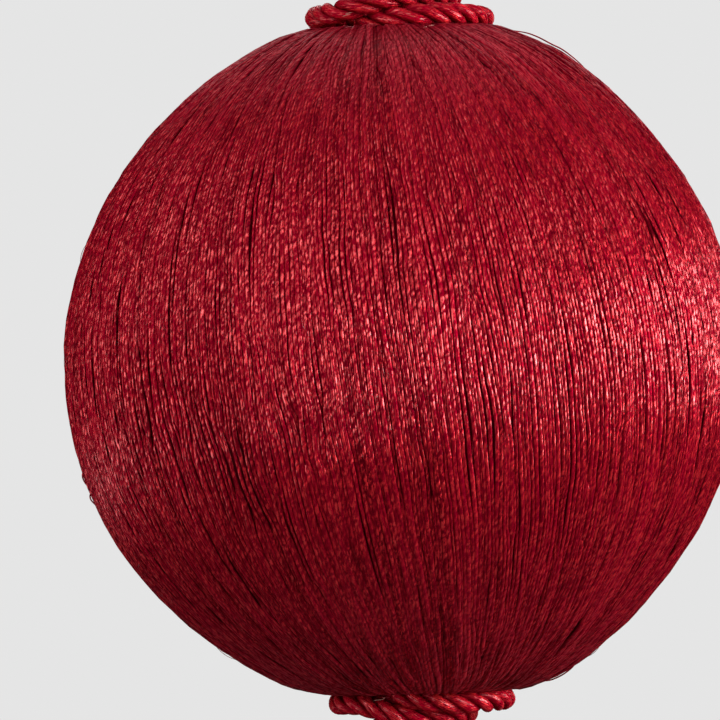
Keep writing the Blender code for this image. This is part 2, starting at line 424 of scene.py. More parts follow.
class Effects:
    """Effects that several finishes use, each a shader group that is built once."""

    own_noise: float = 97.0  # widths of the noise from one thread's part of it to another's
    short_swings: float = 0.9  # of the plies, for each millimetre
    long_swings: float = 0.23
    long_strength: float = 2.0  # beside the short ones
    valley: float = 0.04  # rounds the valley between two plies
    tight: tuple[float, float] = (0.38, 0.62)  # the noise where plies are slack, and where tight
    crown: tuple[float, float] = (0.10, 0.90)  # the cosine at a thread's flank, and on its crown
    streaks: tuple[float, float] = (0.34, 0.66)  # the noise where there are none, and where they are whole
    flecks: tuple[float, float] = (0.42, 0.56)
    relief: tuple[float, float] = (0.3, 0.7)
    fibre_roughness: float = 0.6
    streak_fineness: float = 0.31  # of the flecks' fineness
    patch_scale: float = 260.0  # for each metre

    def __init__(self) -> None:
        """Build the three groups."""
        self.laid_plies = self._laid_plies()
        self.fibre_glints = self._fibre_glints()
        self.dye_and_painted_shade = self._dye_and_painted_shade()

    @staticmethod
    def _group(name: str, inputs: dict[str, str], outputs: dict[str, str]) -> tuple[Graph, dict]:
        """Start a group.

        Args:
            name: The group's name.
            inputs: Its inputs, each a name with its kind, such as Float, Vector or Color.
            outputs: Its outputs, in the same way.

        Returns:
            The graph to fill, and the sockets that carry its inputs, by name.
        """
        tree = bpy.data.node_groups.new(name, "ShaderNodeTree")
        graph = Graph(tree)
        for side, sockets in (("INPUT", inputs), ("OUTPUT", outputs)):
            for label, kind in sockets.items():
                tree.interface.new_socket(name=label, in_out=side, socket_type=f"NodeSocket{kind}")
        given = tree.nodes.new("NodeGroupInput")
        return graph, {label: given.outputs[label] for label in inputs}

    @staticmethod
    def _give(graph: Graph, results: dict[str, bpy.types.NodeSocket]) -> bpy.types.NodeTree:
        """End a group.

        Args:
            graph: The filled graph.
            results: What its outputs give, by name.

        Returns:
            The group.
        """
        end = graph.tree.nodes.new("NodeGroupOutput")
        for label, value in results.items():
            graph.feed(end.inputs[label], value)
        return graph.tree

    @staticmethod
    def _climbed(graph: Graph, lay: bpy.types.Node, lead: bpy.types.NodeSocket) -> bpy.types.NodeSocket:
        """Return the turns from a strand that goes round the thread once in each lead."""
        return graph.math("SUBTRACT", lay.outputs["Y"], graph.math("DIVIDE", lay.outputs["X"], lead))

    def _laid_plies(self) -> bpy.types.NodeTree:
        """Lay rounded plies round a thread, slack in some stretches and tight in others.

        Returns:
            The group, which gives the plies' height, and how far a place is on the thread's crown.
        """
        graph, given = self._group(
            "laid_plies",
            {"Lay": "Vector", "Dye": "Float", "Plies": "Float", "Lead": "Float", "Waver": "Float",
             "Slack": "Float", "Flank": "Float"},
            {"Height": "Float", "Crown": "Float"},
        )
        lay = graph.add("SeparateXYZ", {0: given["Lay"]})
        own = graph.product(given["Dye"], self.own_noise)
        place = graph.add("CombineXYZ", {0: lay.outputs["X"], 1: own}).outputs[0]
        short = graph.noise(place, self.short_swings, 1.0)
        long = graph.noise(place, self.long_swings, 1.0)
        uneven = graph.math("MULTIPLY_ADD", graph.math("SUBTRACT", long, 0.5), self.long_strength,
                            graph.math("SUBTRACT", short, 0.5))
        climbed = self._climbed(graph, lay, given["Lead"])
        turned = graph.math("ADD", climbed, graph.product(uneven, given["Waver"]))
        wave = graph.math("SINE", graph.product(turned, given["Plies"], math.pi))
        round_ply = graph.math("SQRT", graph.math("MULTIPLY_ADD", wave, wave, self.valley))
        slack = graph.product(graph.rest(graph.share(long, *self.tight)), given["Slack"])
        height = graph.product(round_ply, graph.rest(slack))
        facing = graph.math("COSINE", graph.product(lay.outputs["Y"], math.tau))
        flank = graph.product(graph.rest(graph.share(facing, *self.crown)), given["Flank"])
        return self._give(graph, {"Height": height, "Crown": graph.rest(flank)})

    def _fibre_glints(self) -> bpy.types.NodeTree:
        """Draw fine fibres that lie along a ply.

        Returns:
            The group, which gives broad streaks, fine flecks and the fibres' relief.
        """
        graph, given = self._group(
            "fibre_glints",
            {"Lay": "Vector", "Dye": "Float", "Lead": "Float", "Stretch": "Float", "Fineness": "Float"},
            {"Streak": "Float", "Fleck": "Float", "Relief": "Float"},
        )
        lay = graph.add("SeparateXYZ", {0: given["Lay"]})
        turn = graph.product(self._climbed(graph, lay, given["Lead"]), math.tau)
        own = graph.product(given["Dye"], self.own_noise)
        place = graph.add("CombineXYZ", {
            0: graph.math("ADD", graph.math("SINE", turn), own),
            1: graph.math("COSINE", turn),
            2: graph.math("DIVIDE", lay.outputs["X"], given["Stretch"]),
        }).outputs[0]
        fine = graph.noise(place, given["Fineness"], 2.0, Roughness=self.fibre_roughness)
        broad = graph.noise(place, graph.product(given["Fineness"], self.streak_fineness), 1.0)
        return self._give(graph, {
            "Streak": graph.share(broad, *self.streaks),
            "Fleck": graph.share(fine, *self.flecks),
            "Relief": graph.share(fine, *self.relief),
        })

    def _dye_and_painted_shade(self) -> bpy.types.NodeTree:
        """Vary a dyed colour from thread to thread and in soft patches, and darken it with painted shade in
        the hollows between plies and beside a thread's crown.

        Returns:
            The group, which gives the colour.
        """
        graph, given = self._group(
            "dye_and_painted_shade",
            {"Dyed": "Color", "Painted Shade": "Color", "Dye": "Float", "Height": "Float", "Position": "Vector",
             "Uneven": "Float"},
            {"Color": "Color"},
        )
        patches = graph.noise(given["Position"], self.patch_scale, 3.0)
        spread, patchy = (graph.product(graph.math("SUBTRACT", part, 0.5), given["Uneven"])
                          for part in (given["Dye"], patches))
        value = graph.math("ADD", graph.math("ADD", spread, patchy), 1.0)
        dyed = graph.add("HueSaturation", {"Color": given["Dyed"], "Value": value}).outputs[0]
        # Painted shade: the colour runs from the shade colour in the hollows up to the dyed colour on the
        # crests.
        return self._give(graph, {"Color": graph.blend(given["Height"], given["Painted Shade"], dyed)})


# ---------------------------------------------------------------------------------------------
# Finishes
# ---------------------------------------------------------------------------------------------


@dataclass(frozen=True)
class SilkFinish:
    """One silk: its dye, how its plies are laid, and how it takes the light."""

    name: str
    slot: Slot
    dyed: Colour
    # painted shade: the colour where shade falls between the plies and beside a thread's crown
    painted_shade: Colour
    plies: int
    lead: float  # millimetres along the thread for one whole turn of a ply
    handed: Handed
    ply_relief: float
    waver: float
    slack: float  # how far a ply flattens where it is loosely laid
    flank: float  # flank: float # how far painted shade darkens the thread where it turns down beside its neighbour
    fibre_lead: float  # millimetres for one turn of the fibres, right-handed above 0
    fibre_relief: float
    fibre_stretch: float  # millimetres along the thread for a streak as long as the thread is thick
    fibre_fineness: float
    uneven: float
    roughness: float
    metallic: tuple[float, float]  # between the glints, and on them
    bead: float  # how sharply the gloss of a ply gathers on its crest
    crest: Colour  # the fibres that lie open on a ply's crest
    sparkle: float  # how sparse the whitest glints are
    coat_ior: float
    coat_roughness: float
    painted_sheen: Colour = (0.50, 0.048, 0.068)  # painted_sheen: Colour = (0.50, 0.048, 0.068) # the paler colour that paints a sheen on threads near a collar, where they have lost their gloss
    ply_shade: tuple[float, float] = (0.8, 1.0)  # ply_shade: tuple[float, float] = (0.8, 1.0) # the dyed colour's share against the painted shade, between plies and on them
    crown_shade: tuple[float, float] = (0.1, 1.0)  # the same beside the thread's crown, and on it
    streak_gloss: tuple[float, float] = (0.25, 1.0)  # of the dullest streak, and of the brightest
    crown_power: float = 2.0  # how closely the gloss keeps to the crown
    painted_sheen_power: float = 2.0  # painted_sheen_power: float = 2.0 # how late the painted sheen comes in as a thread loses its gloss

    def material(self, effects: Effects) -> bpy.types.Material:
        """Build the material.

        Args:
            effects: The shared shader groups.

        Returns:
            The material, which reads its piece's lay map, its two attributes and Object coordinates.
        """
        material = bpy.data.materials.new(self.name)
        graph = Graph.of(material)
        lay = graph.add("UVMap", uv_map=LAY_MAP).outputs[0]
        dye, gloss = (graph.add("Attribute", attribute_name=name).outputs["Fac"]
                      for name in (DYE_ATTRIBUTE, GLOSS_ATTRIBUTE))
        plies = graph.effect(effects.laid_plies, {
            "Lay": lay, "Dye": dye, "Plies": float(self.plies), "Lead": self.lead * self.handed.value,
            "Waver": self.waver, "Slack": self.slack, "Flank": self.flank,
        })
        fibres = graph.effect(effects.fibre_glints, {
            "Lay": lay, "Dye": dye, "Lead": self.fibre_lead, "Stretch": self.fibre_stretch,
            "Fineness": self.fibre_fineness,
        })
        height, crown = plies.outputs["Height"], plies.outputs["Crown"]
        # Painted shade: the colour goes darker between the plies and beside a thread's crown, where shade
        # falls.
        shade = graph.product(graph.scale(height, *self.ply_shade), graph.scale(crown, *self.crown_shade))
        colour = graph.effect(effects.dye_and_painted_shade, {
            "Dyed": (*self.dyed, 1.0), "Painted Shade": (*self.painted_shade, 1.0), "Dye": dye, "Height": shade,
            "Position": graph.add("TexCoord").outputs["Object"], "Uneven": self.uneven,
        }).outputs["Color"]
        open_ply = graph.product(height, graph.math("POWER", crown, self.crown_power))
        bead = graph.math("POWER", open_ply, self.bead)
        # Painted sheen: where a thread near a pole has lost its gloss, its crests turn paler.
        painted_sheen_share = graph.product(graph.math("POWER", graph.rest(gloss), self.painted_sheen_power), dye, bead)
        streaked = graph.scale(fibres.outputs["Streak"], *self.streak_gloss)
        glint = graph.product(bead, fibres.outputs["Fleck"], gloss, streaked)
        with_painted_sheen = graph.blend(painted_sheen_share, colour, (*self.painted_sheen, 1.0))
        relief = graph.math("MULTIPLY_ADD", fibres.outputs["Relief"], self.fibre_relief,
                            graph.product(height, self.ply_relief))
        bump = graph.add("Bump", {"Height": relief, "Distance": 1.0, "Strength": 1.0})
        shader = graph.add("BsdfPrincipled", {
            "Base Color": graph.blend(glint, with_painted_sheen, (*self.crest, 1.0)),
            "Roughness": self.roughness,
            "Metallic": graph.scale(glint, *self.metallic),
            "Specular IOR Level": 0.0,
            "Coat Weight": graph.math("POWER", glint, self.sparkle),
            "Coat Roughness": self.coat_roughness,
            "Coat IOR": self.coat_ior,
            "Normal": bump.outputs[0],
        })
        graph.add("OutputMaterial", {"Surface": shader.outputs[0]})
        return material


@dataclass(frozen=True)
class PaperFinish:
    """The pale paper of the floor: evenly lit where the camera sees it, and dim in reflections."""

    name: str
    seen: float
    reflected: float

    def material(self) -> bpy.types.Material:
        """Build the material.

        Returns:
            The material.
        """
        material = bpy.data.materials.new(self.name)
        graph = Graph.of(material)
        seen = graph.add("Emission", {"Color": (self.seen,) * 3 + (1.0,), "Strength": 1.0})
        dim = graph.add("BsdfDiffuse", {"Color": (self.reflected,) * 3 + (1.0,)})
        ray = graph.add("LightPath").outputs["Is Camera Ray"]
        mixed = graph.add("MixShader", {0: ray, 1: dim.outputs[0], 2: seen.outputs[0]})
        graph.add("OutputMaterial", {"Surface": mixed.outputs[0]})
        return material


WOUND_SILK = SilkFinish(
    name="wound_two_ply", slot=Slot.WOUND,
    dyed=(0.19, 0.0003, 0.0095), painted_shade=(0.038, 0.0001, 0.0016),
    plies=2, lead=2.8, handed=Handed.RIGHT, ply_relief=0.05 * MM, waver=0.8, slack=0.10, flank=0.48,
    fibre_lead=9.0, fibre_relief=0.01 * MM, fibre_stretch=0.5, fibre_fineness=0.95,
    uneven=0.70, roughness=0.30, metallic=(0.30, 0.85), bead=1.25, crest=(1.0, 0.024, 0.032),
    sparkle=1.4, coat_ior=2.0, coat_roughness=0.21,
)
LOOSE_SILK = replace(
    WOUND_SILK, name="loose_two_ply", slot=Slot.LOOSE,
    dyed=(0.25, 0.0006, 0.0095), painted_shade=(0.10, 0.0002, 0.002),
    lead=2.6, ply_relief=0.12 * MM, waver=0.7, slack=0.6, flank=0.0,
    fibre_lead=8.0, fibre_relief=0.04 * MM, fibre_stretch=0.8, fibre_fineness=1.1, uneven=0.34,
)
ROPE_SILK = SilkFinish(
    name="laid_rope", slot=Slot.ROPE,
    dyed=(0.34, 0.0007, 0.014), painted_shade=(0.09, 0.0003, 0.005),
    plies=18, lead=6.7, handed=Handed.LEFT, ply_relief=0.06 * MM, waver=0.05, slack=0.3, flank=0.50,
    fibre_lead=-6.7, fibre_relief=0.08 * MM, fibre_stretch=1.3, fibre_fineness=2.6,
    uneven=0.30, roughness=0.34, metallic=(0.02, 0.95), bead=0.8, crest=(1.0, 0.030, 0.030),
    sparkle=1.2, coat_ior=1.9, coat_roughness=0.30,
)
UNDYED_SILK = SilkFinish(
    name="undyed_ends", slot=Slot.LOOSE,
    dyed=(0.40, 0.18, 0.15), painted_shade=(0.20, 0.05, 0.04),
    plies=2, lead=1.2, handed=Handed.RIGHT, ply_relief=0.03 * MM, waver=0.6, slack=0.5, flank=0.3,
    fibre_lead=8.0, fibre_relief=0.02 * MM, fibre_stretch=0.5, fibre_fineness=1.1,
    uneven=0.40, roughness=0.35, metallic=(0.0, 0.2), bead=1.0, crest=(0.80, 0.48, 0.40),
    sparkle=1.0, coat_ior=1.6, coat_roughness=0.25,
)
PAPER = PaperFinish(name="pale_paper", seen=0.784, reflected=0.10)


# ---------------------------------------------------------------------------------------------
# Threads
# ---------------------------------------------------------------------------------------------


@dataclass
class Lines:
    """Where the threads of a sheaf run. Each array has a row for each thread, a column for each station."""

    middle: np.ndarray
    crown: np.ndarray  # outward, square to the thread
    wide: np.ndarray  # half the width
    high: np.ndarray  # half the thickness
    gloss: np.ndarray  # gloss: np.ndarray # how much of its gloss it keeps: less where threads are crowded, where a painted sheen then comes in

    @classmethod
    def of_round(cls, middle: np.ndarray, crown: np.ndarray, radius: np.ndarray) -> "Lines":
        """Return the lines of round threads that keep all their gloss."""
        radius = np.broadcast_to(radius, middle.shape[:2])
        return cls(middle, crown, radius, radius, np.ones(radius.shape))

    def some(self, rows: slice) -> "Lines":
        """Return the lines of some of the threads."""
        return Lines(self.middle[rows], self.crown[rows], self.wide[rows], self.high[rows], self.gloss[rows])


@dataclass
class Sheaf:
    """Equal threads, made straight side by side and then laid along their own lines."""

    name: str
    count: int
    segments: int
    turns: tuple[float, ...]  # where its flat sides meet round a thread, in degrees from the crown
    finish: SilkFinish
    seed: int
    ridge: float = 0.0  # how far every second side stands back, as a share of the radius
    sharp_over: float = 70.0  # degrees
    spacing: float = 4.0  # of the straight threads, in their own radii
    tightness: tuple[float, float] = (0.9, 1.1)  # of the lay, from thread to thread
    first_lay: float = 40.0  # millimetres within which each thread's lay starts

    def _straight(self) -> bpy.types.Mesh:
        """Make one closed straight thread of radius 1 and length 1, and repeat it in a row.

        Returns:
            The mesh of all of them.
        """
        bm = bmesh.new()
        bmesh.ops.create_cone(bm, cap_ends=True, segments=len(self.turns), radius1=1.0, radius2=1.0,
                              depth=1.0)
        lengthways = [edge for edge in bm.edges if edge.verts[0].co.z * edge.verts[1].co.z < 0]
        bmesh.ops.subdivide_edges(bm, edges=lengthways, cuts=self.segments - 1)
        single = mesh_of(bm, f"{self.name}_single")
        row = put(f"{self.name}_row", single)
        array = row.modifiers.new("row", "ARRAY")
        array.use_relative_offset = False
        array.use_constant_offset = True
        array.constant_offset_displace = (self.spacing, 0.0, 0.0)
        array.count = self.count
        seen = row.evaluated_get(bpy.context.evaluated_depsgraph_get())
        mesh = bpy.data.meshes.new_from_object(seen)
        bpy.data.objects.remove(row, do_unlink=True)
        bpy.data.meshes.remove(single)
        return mesh

    def _travelled(self, lines: Lines, rng: np.random.Generator) -> np.ndarray:
        """Measure each thread's plies.

        Args:
            lines: Where the threads run.
            rng: The seeded source of chance.

        Returns:
            Millimetres along the plies at each station, counted from each thread's own start.
        """
        steps = np.linalg.norm(np.diff(lines.middle, axis=1), axis=2)
        length = np.cumsum(np.pad(steps, ((0, 0), (1, 0))), axis=1) / MM
        tightness = rng.uniform(*self.tightness, (self.count, 1))
        return length * tightness + rng.uniform(0.0, self.first_lay, (self.count, 1))

    @staticmethod
    def _paint_lay(mesh: bpy.types.Mesh, along: np.ndarray, turn: np.ndarray, twist: np.ndarray) -> None:
        """Write the lay map, whose seam closes at the crown.

        Args:
            mesh: The laid mesh.
            along: Millimetres along the thread, for each vertex.
            turn: Turns round the thread from its first side, for each vertex.
            twist: Turns from the crown to that first side, for each vertex.
        """
        corner = read(mesh.loops, "vertex_index", np.int64)
        starts = read(mesh.polygons, "loop_start", np.int64)
        sizes = read(mesh.polygons, "loop_total", np.int64)
        across = turn[corner]
        furthest = np.repeat(np.maximum.reduceat(across, starts), sizes)
        across = np.where(across < furthest - 0.5, across + 1.0, across)
        map_lay(mesh, along[corner], across + twist[corner])

    def lay(self, lines: Lines) -> bpy.types.Object:
        """Lay every thread along its line.

        Args:
            lines: Where the threads run, counted from the middle of the ball.

        Returns:
            The finished piece, in its place and with its lay map and both attributes.
        """
        mesh = self._straight()
        x, y, z = read(mesh.vertices, "co", float, 3)
        thread = np.rint(x / self.spacing).astype(int)
        station = np.rint((z + 0.5) * self.segments).astype(int)
        around = -np.arctan2(x - thread * self.spacing, y)
        number = np.rint(around / math.tau * len(self.turns)).astype(int)
        turn = np.array(self.turns)[number % len(self.turns)] / 360.0

        rng = np.random.default_rng(self.seed)
        along = self._travelled(lines, rng)[thread, station]
        twist = along / (self.finish.lead * self.finish.handed.value) * (self.ridge > 0)
        angle = (turn + twist) * math.tau
        reach = 1 - self.ridge * (number % 2)
        travel = unit(np.gradient(lines.middle, axis=1))
        crown = unit(lines.crown - travel * (lines.crown * travel).sum(-1, keepdims=True))
        beside = np.cross(travel, crown)
        up = (np.cos(angle) * lines.high[thread, station] * reach)[:, None]
        aside = (np.sin(angle) * lines.wide[thread, station] * reach)[:, None]
        place = lines.middle[thread, station] + crown[thread, station] * up + beside[thread, station] * aside

        write(mesh.vertices, "co", place + BALL_MIDDLE)
        self._paint_lay(mesh, along, turn, twist)
        paint(mesh, DYE_ATTRIBUTE, rng.uniform(0.0, 1.0, self.count)[thread])
        paint(mesh, GLOSS_ATTRIBUTE, lines.gloss[thread, station])
        mesh.name = self.name
        mesh.shade_smooth()
        mesh.set_sharp_from_angle(angle=math.radians(self.sharp_over))
        mesh.update()
        return put(self.name, mesh)


def dress(piece: bpy.types.Object, finish: SilkFinish, effects: Effects) -> bpy.types.Object:
    """Give a piece its finish and its place on the tassel's body.

    Args:
        piece: The piece.
        finish: Its silk.
        effects: The shared shader groups.

    Returns:
        The same piece.
    """
    material = bpy.data.materials.get(finish.name) or finish.material(effects)
    piece.data.materials.clear()
    piece.data.materials.append(material)
    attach(piece, BODY)
    log.info("%s: %d faces", piece.name, len(piece.data.polygons))
    return piece


# ---------------------------------------------------------------------------------------------
# The ball
# ---------------------------------------------------------------------------------------------


@dataclass
class WoundBall:
    """Silk wound from pole to pole over a round mould."""

    threads: int = 500
    segments: int = 76
    profile_points: int = 73
    radius: float = 35.0 * MM
    offset: float = -0.85 * MM  # the ball sits this far to the left of the cord it is threaded on
    offset_from: float = 8.5 * MM  # from here outward the offset grows
    offset_whole: float = 30.0 * MM
    top_aside: float = 0.50 * MM  # the top of the winding leans back to the right
    aside_fades: tuple[float, float] = (14.5 * MM, 19.5 * MM)
    top_tilt: float = -0.028  # rise to the right
    tilt_fades: tuple[float, float] = (13.0 * MM, 20.0 * MM)
    half_width: float = 0.225 * MM
    half_height: float = 0.20 * MM
    stoutness: tuple[float, float] = (0.72, 1.30)  # of the least and the stoutest thread
    least_pitch: float = 0.30 * MM  # threads are no closer than this, and the rest dive under
    dive: float = 0.40 * MM
    merge_length: float = 0.10  # of the room for all threads, in which one goes under
    turn_takers: int = 4  # neighbours that dive under one after another
    rank_spread: tuple[float, float] = (0.1, 0.9)  # of a place in their order
    dips: tuple[float, float] = (-0.95, -0.70)  # of a slow swing, where a thread is under and where it shows
    slow_swings: int = 3  # along a thread
    neighbours: int = 9  # to each side: together they stay on their own part of the ball
    pass_size: tuple[int, int] = (3, 7)  # threads laid side by side in one pass of the needle
    pass_gap: float = 0.52  # of a pitch
    gap_spread: tuple[float, float] = (0.4, 1.6)  # of that gap, from pass to pass
    gap_open: float = 0.6  # how far a gap is open, halfway through its slow swing
    least_room: float = 0.03  # of a pitch, that a thread under its neighbours keeps
    jostle: Waver = Waver(0.10, 1, 4)  # of a pitch
    slant: float = 0.105  # how far a thread goes round for its way down, the same all the way
    slant_ends: float = 0.99  # of the radius
    still_poles: float = 12.0 * MM  # threads sway and lift less inside this radius
    sway: tuple[Waver, ...] = rows_of(Waver, (0.036 * MM, 1, 4), (0.036 * MM, 6, 3), (0.012 * MM, 1, 11))
    lift: tuple[Waver, ...] = rows_of(Waver, (0.11 * MM, 1, 4), (0.055 * MM, 1, 11), (0.05 * MM, 1, 17))
    dulling: float = 1.4  # dulling: float = 1.4 # power of the radius by which crowded threads lose their gloss and take on the painted sheen
    sides: tuple[float, ...] = (0.0, 40.0, 80.0, 280.0, 320.0)
    underlay_sides: int = 240
    underlay_depth: float = 0.36 * MM
    underlay_weave: float = 100.0  # turns of its plies for each radian round the ball
    seed: int = 11
    build_up: tuple[BuildUp, ...] = rows_of(
        BuildUp,
        (17.5, 0.98), (22.0, 0.95), (29.0, 0.74), (40.0, 0.25), (50.0, -0.03), (70.0, -0.10), (90.0, -0.08),
        (115.0, 0.04), (132.0, 0.06), (140.0, 0.25), (150.0, 0.56), (156.5, 0.85), (162.0, 0.70),
    )
    top_dimple: tuple[RingStop, ...] = rows_of(
        RingStop, (3.8, 33.0), (5.2, 33.8), (6.9, 34.25), (8.3, 34.55), (9.5, 34.70),
    )
    bottom_dimple: tuple[RingStop, ...] = rows_of(
        RingStop, (3.8, -32.5), (5.2, -33.1), (6.8, -33.6), (8.4, -33.95), (9.6, -34.1),
    )

    def profile(self, count: int) -> np.ndarray:
        """Draw the ball's outline from the top dimple to the bottom one.

        Args:
            count: How many points it gets.

        Returns:
            Radius and height of evenly spaced points, one a row.
        """
        piled = smooth_through(np.array(self.build_up))
        angles = np.linspace(piled[0, 0], piled[-1, 0], self.profile_points)
        reach = self.radius + np.interp(angles, *piled.T) * MM
        turns = np.radians(angles)
        side = np.column_stack([reach * np.sin(turns), reach * np.cos(turns)])
        top = np.array(self.top_dimple) * MM
        bottom = np.array(self.bottom_dimple)[::-1] * MM
        return spaced_evenly(smooth_through(np.vstack([top, side, bottom])), count)

    def surface(self, radius: np.ndarray, height: np.ndarray, angle: np.ndarray) -> np.ndarray:
        """Put points of the outline on the ball, which is off its cord and tilted at its top.

        Args:
            radius: Distance from the ball's own axis.
            height: Height of each point.
            angle: Angle round the cord, in radians.

        Returns:
            The points.
        """
        outward = ease(self.offset_from, self.tilt_fades[0], radius)
        aside = self.top_aside * outward * (1 - ease(*self.aside_fades, radius))
        shift = self.offset * ease(self.offset_from, self.offset_whole, radius)
        shift = shift + np.where(height > 0, aside, 0.0)
        reach = shift * np.sin(angle) + np.sqrt(radius ** 2 - (shift * np.cos(angle)) ** 2)
        x = reach * np.sin(angle)
        tilt = self.top_tilt * outward * (1 - ease(*self.tilt_fades, radius))
        return np.stack([x, -reach * np.cos(angle), height + np.where(height > 0, x * tilt, 0.0)], axis=-1)

    def presence(self, rng: np.random.Generator, radius: np.ndarray) -> np.ndarray:
        """Say how far each thread lies on the surface, where there is no room for all of them.

        Args:
            rng: The seeded source of chance.
            radius: The ball's radius at each station.

        Returns:
            Numbers from 0, under its neighbours, to 1, on the surface.
        """
        room = math.tau * radius / (self.threads * self.least_pitch)
        room = np.clip(room, 0.0, 1.0) * (1 + self.merge_length)
        order = [rng.permutation(self.turn_takers) for _ in range(self.threads // self.turn_takers)]
        rank = (np.ravel(order) + rng.uniform(*self.rank_spread, self.threads)) / self.turn_takers
        shown = ease(0.0, 1.0, (room[None, :] - rank[:, None]) / self.merge_length)
        dives = wander(rng, (self.threads, len(radius)), self.threads, self.slow_swings)
        return shown * ease(*self.dips, dives)

    def smoothed(self, drift: np.ndarray) -> np.ndarray:
        """Average over each thread's neighbours, round the ball.

        Args:
            drift: Numbers, a row for each thread.

        Returns:
            Their averages, in the same rows.
        """
        window = 2 * self.neighbours + 1
        wrapped = np.vstack([drift[-self.neighbours:], drift, drift[:self.neighbours]])
        sums = np.cumsum(np.vstack([np.zeros_like(drift[:1]), wrapped]), axis=0)
        return (sums[window:] - sums[:-window]) / window

    def share_out(self, rng: np.random.Generator, shown: np.ndarray) -> tuple[np.ndarray, np.ndarray]:
        """Share the way round the ball out among its threads, pass by pass.

        Args:
            rng: The seeded source of chance.
            shown: How far each thread lies on the surface at each station.

        Returns:
            How stout each thread is, beside the usual one, and its angle at each station, in radians.
        """
        gaps = np.zeros(self.threads)
        place = 0
        while place < self.threads:
            gaps[place] = rng.uniform(*self.gap_spread) * self.pass_gap
            place += int(rng.integers(*self.pass_size))
        slow = wander(rng, shown.shape, self.threads, self.slow_swings)
        opening = np.clip(self.gap_open + slow, 0.0, None)
        stoutness = rng.uniform(*self.stoutness, (self.threads, 1))
        pitch = stoutness + gaps[:, None] * opening + stray(rng, shown.shape, self.jostle)
        room = (shown + self.least_room) * pitch
        edge = np.cumsum(room, axis=0)
        angle = math.tau * (edge - room / 2) / edge[-1]
        even = math.tau * (np.arange(self.threads) + 0.5) / self.threads
        return stoutness, angle - self.smoothed(angle - even[:, None])

    def lines(self) -> Lines:
        """Work out where each thread runs.

        Returns:
            The lines of all the threads, once round the ball.
        """
        rng = np.random.default_rng(self.seed)
        radius, height = self.profile(self.segments + 1).T
        shown = self.presence(rng, radius)
        stoutness, angle = self.share_out(rng, shown)
        angle += self.slant * np.arctanh(np.clip(-height / self.radius, -self.slant_ends, self.slant_ends))

        surface = self.surface(radius[None, :], height[None, :], angle)
        right = np.stack([np.cos(angle), np.sin(angle), np.zeros(angle.shape)], axis=-1)
        crown = unit(np.cross(unit(np.gradient(surface, axis=1)), right))
        fade = ease(0.0, self.still_poles, radius)
        sway = stray(rng, angle.shape, *self.sway) * fade
        lift = stray(rng, angle.shape, *self.lift) * fade
        depth = self.half_height + self.dive * (1 - shown) - lift
        middle = surface - crown * depth[..., None] + right * sway[..., None]
        gloss = np.clip(radius / self.radius, 0.0, 1.0) ** self.dulling
        wide, high, gloss = (np.broadcast_to(values, angle.shape) for values in (
            self.half_width * stoutness, self.half_height * stoutness, gloss))
        return Lines(middle, crown, wide, high, gloss)

    def build(self, effects: Effects) -> list[bpy.types.Object]:
        """Make the threads, in a left and a right half, and the mould's covering under them.

        Args:
            effects: The shared shader groups.

        Returns:
            The pieces.
        """
        lines = self.lines()
        pieces = []
        half = self.threads // 2
        for number, name in enumerate(("ball_threads_right", "ball_threads_left")):
            part = slice(number * half, (number + 1) * half)
            sheaf = Sheaf(name, half, self.segments, self.sides, WOUND_SILK, self.seed + number)
            pieces.append(dress(sheaf.lay(lines.some(part)), WOUND_SILK, effects))
        pieces.append(dress(self.underlay(), WOUND_SILK, effects))
        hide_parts("ball")
        return pieces

    def underlay(self) -> bpy.types.Object:
        """Turn the silk-covered mould that shows in the gaps between threads.

        Returns:
            The piece, with the same maps as a sheaf.
        """
        shrink = 1 - self.underlay_depth / self.radius
        bm = bmesh.new()
        start = [bm.verts.new((0.0, self.underlay_depth - radius, height * shrink))
                 for radius, height in self.profile(self.profile_points)]
        edges = [bm.edges.new(pair) for pair in zip(start, start[1:])]
        bmesh.ops.spin(bm, geom=start + edges, cent=(0, 0, 0), axis=(0, 0, 1), angle=math.tau,
                       steps=self.underlay_sides, use_merge=True)
        bmesh.ops.holes_fill(bm, edges=[edge for edge in bm.edges if edge.is_boundary], sides=0)
        bmesh.ops.recalc_face_normals(bm, faces=bm.faces)
        put_in_order(bm)
        mesh = mesh_of(bm, "ball_underlay")
        x, y, z = read(mesh.vertices, "co", float, 3)
        angle = np.arctan2(x, -y)
        write(mesh.vertices, "co", self.surface(np.hypot(x, y), z, angle) + BALL_MIDDLE)
        corner = read(mesh.loops, "vertex_index", np.int64)
        map_lay(mesh, z[corner] / MM, angle[corner] * self.underlay_weave)
        # Dye and gloss of 0 give the real silk under the threads the darkest dye and no gloss: a painted
        # shade in the gaps between threads.
        for name in (DYE_ATTRIBUTE, GLOSS_ATTRIBUTE):
            paint(mesh, name, np.zeros(len(mesh.vertices)))
        mesh.shade_smooth()
        return put("ball_underlay", mesh)


@dataclass
class Strays:
    """Threads and cut ends that have worked loose from the winding."""

    name: str
    finish: SilkFinish
    half_width: float
    runs: tuple[tuple[StrayStop, ...], ...]
    seed: int
    segments: int = 24
    sides: tuple[float, ...] = (0.0, 72.0, 144.0, 216.0, 288.0)
    blunt: float = 0.15  # radians of half a turn that its ends stop short of, so that they keep some width

    def build(self, effects: Effects) -> bpy.types.Object:
        """Lay the strays and dress them.

        Args:
            effects: The shared shader groups.

        Returns:
            All of them, in one piece.
        """
        stations = self.segments + 1
        middle = np.array([spaced_evenly(smooth_through(np.array(run) * MM), stations) for run in self.runs])
        thin = np.sqrt(np.sin(np.linspace(self.blunt, math.pi - self.blunt, stations)))
        lines = Lines.of_round(middle, unit(middle), self.half_width * thin)
        sheaf = Sheaf(self.name, len(self.runs), self.segments, self.sides, self.finish, self.seed)
        return dress(sheaf.lay(lines), self.finish, effects)


